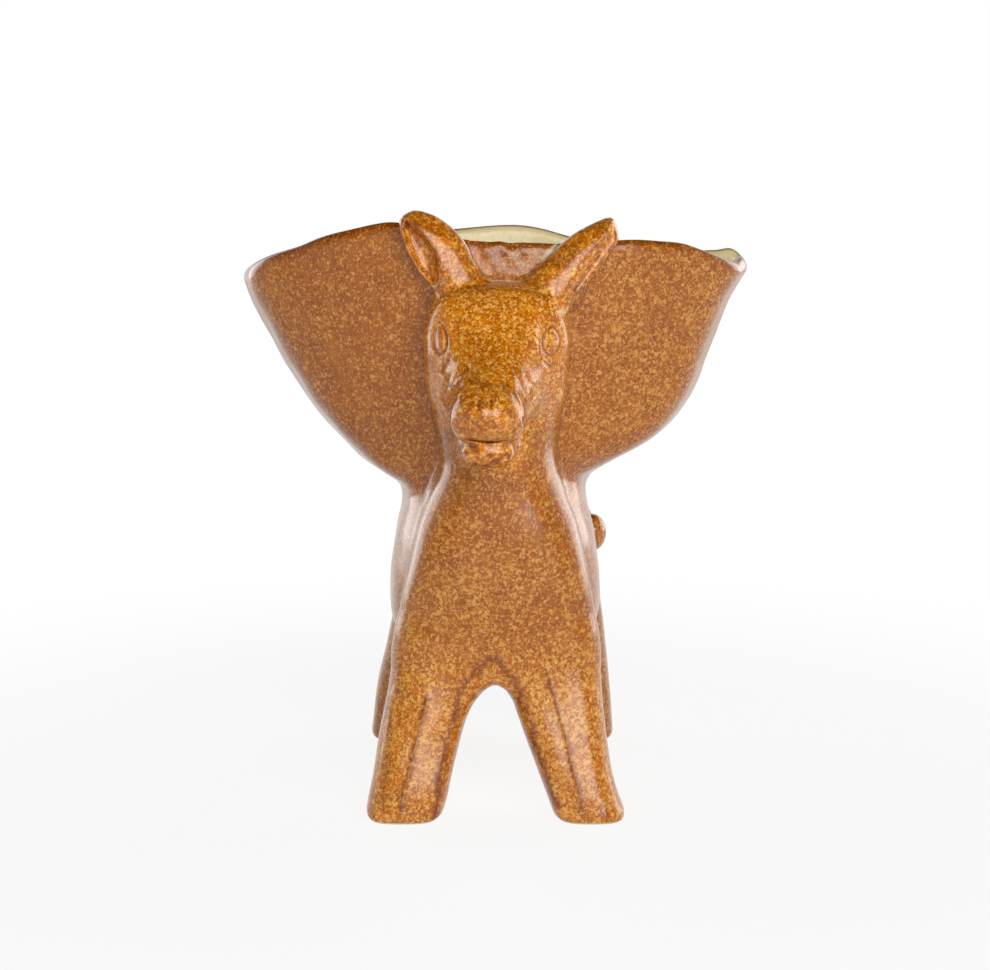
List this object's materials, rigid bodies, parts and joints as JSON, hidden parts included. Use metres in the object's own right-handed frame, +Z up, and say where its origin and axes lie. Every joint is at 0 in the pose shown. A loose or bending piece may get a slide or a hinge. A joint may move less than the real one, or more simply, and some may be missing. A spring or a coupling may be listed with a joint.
{
  "type": "donkey bowl",
  "caption": "Glazed stoneware bowl, boat-shaped with pinched ends, carried across the back of a standing donkey figure on stout splayed legs.",
  "frame": {"origin": "on the ground, under the middle of the whole object's box", "axes": "+Z up, the donkey faces -Y, the bowl's ends lie along X"},
  "size_m": [0.1744, 0.1592, 0.2049],
  "materials": {
    "rust_glaze": "glossy rust-brown stoneware glaze with tan flecks",
    "honey_glaze": "glossy honey-amber stoneware glaze with dark mottling",
    "amber_glaze": "glossy dark amber stoneware glaze, pooled"
  },
  "bodies": {
    "root": {"bowl": "rust_glaze", "body": "rust_glaze", "neck": "rust_glaze", "head": "honey_glaze", "lower_jaw": "honey_glaze", "left_ear": "honey_glaze", "right_ear": "honey_glaze", "left_eye": "amber_glaze", "right_eye": "amber_glaze", "front_left_leg": "rust_glaze", "front_right_leg": "rust_glaze", "rear_left_leg": "rust_glaze", "rear_right_leg": "rust_glaze", "tail": "amber_glaze", "tail_tuft": "amber_glaze"}
  },
  "joints": []
}
